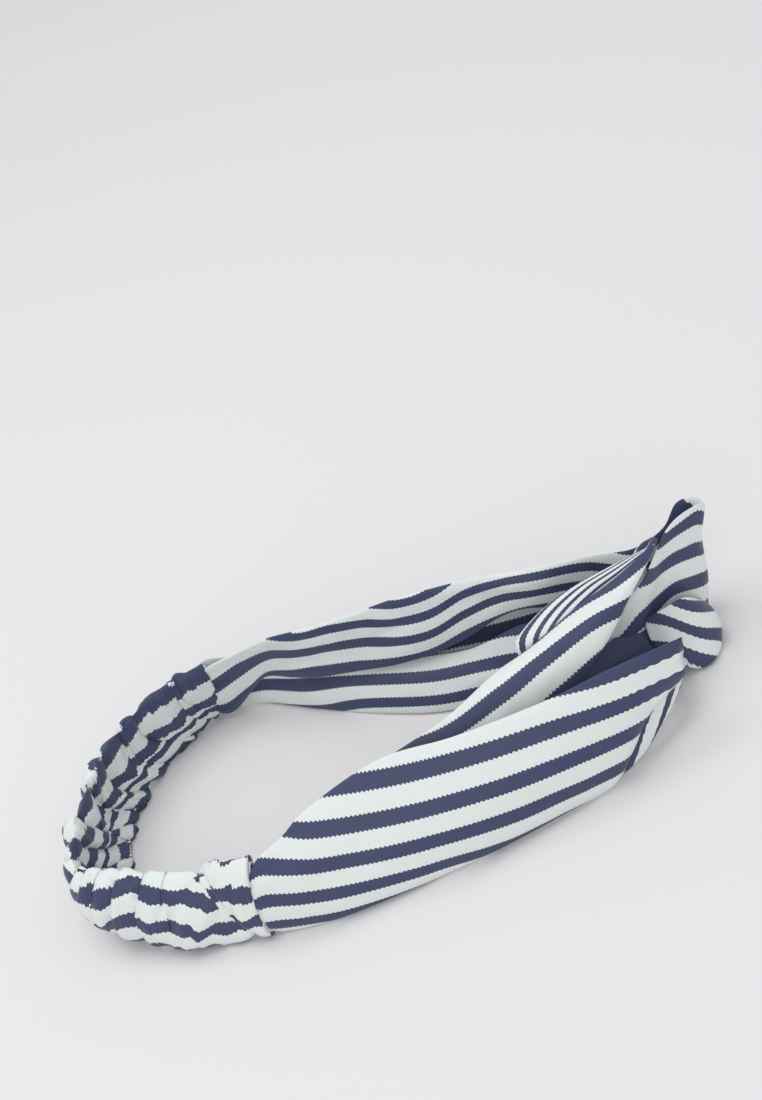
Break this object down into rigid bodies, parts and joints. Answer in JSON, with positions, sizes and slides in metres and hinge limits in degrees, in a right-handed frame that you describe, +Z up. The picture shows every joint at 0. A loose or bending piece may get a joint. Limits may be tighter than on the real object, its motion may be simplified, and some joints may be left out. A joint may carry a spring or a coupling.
{
  "type": "twist-front elastic headband",
  "caption": "Soft striped headband lying on its edge: two fabric loops hooked through each other at the front, joined to a gathered elastic back.",
  "frame": {"origin": "on the floor, under the centre of the bounding box in plan", "axes": "+X towards the twisted front and away from the elastic back, +Z up across the width of the band, +Y towards the far side of the ring"},
  "size_m": [0.2224, 0.1162, 0.0427],
  "materials": {
    "striped_satin": "satin weave, slate navy and cool white stripes along each band, soft sheen",
    "elastic_webbing": "woven flat elastic, matt off-white",
    "sewing_thread": "spun polyester thread, matt"
  },
  "bodies": {
    "twisted_front": {"near_loop": "striped_satin", "far_loop": "striped_satin", "near_join_stitches": "sewing_thread", "far_join_stitches": "sewing_thread"},
    "elastic_back": {"elastic_sleeve": "striped_satin", "elastic_strip": "elastic_webbing", "sleeve_seam_thread": "sewing_thread", "near_elastic_tack": "sewing_thread", "far_elastic_tack": "sewing_thread"}
  },
  "joints": [
    {"name": "elastic_stretch", "type": "slide", "parent": "twisted_front", "child": "elastic_back", "axis": [-1, 0, 0], "range_m": [0, 0.055]}
  ]
}
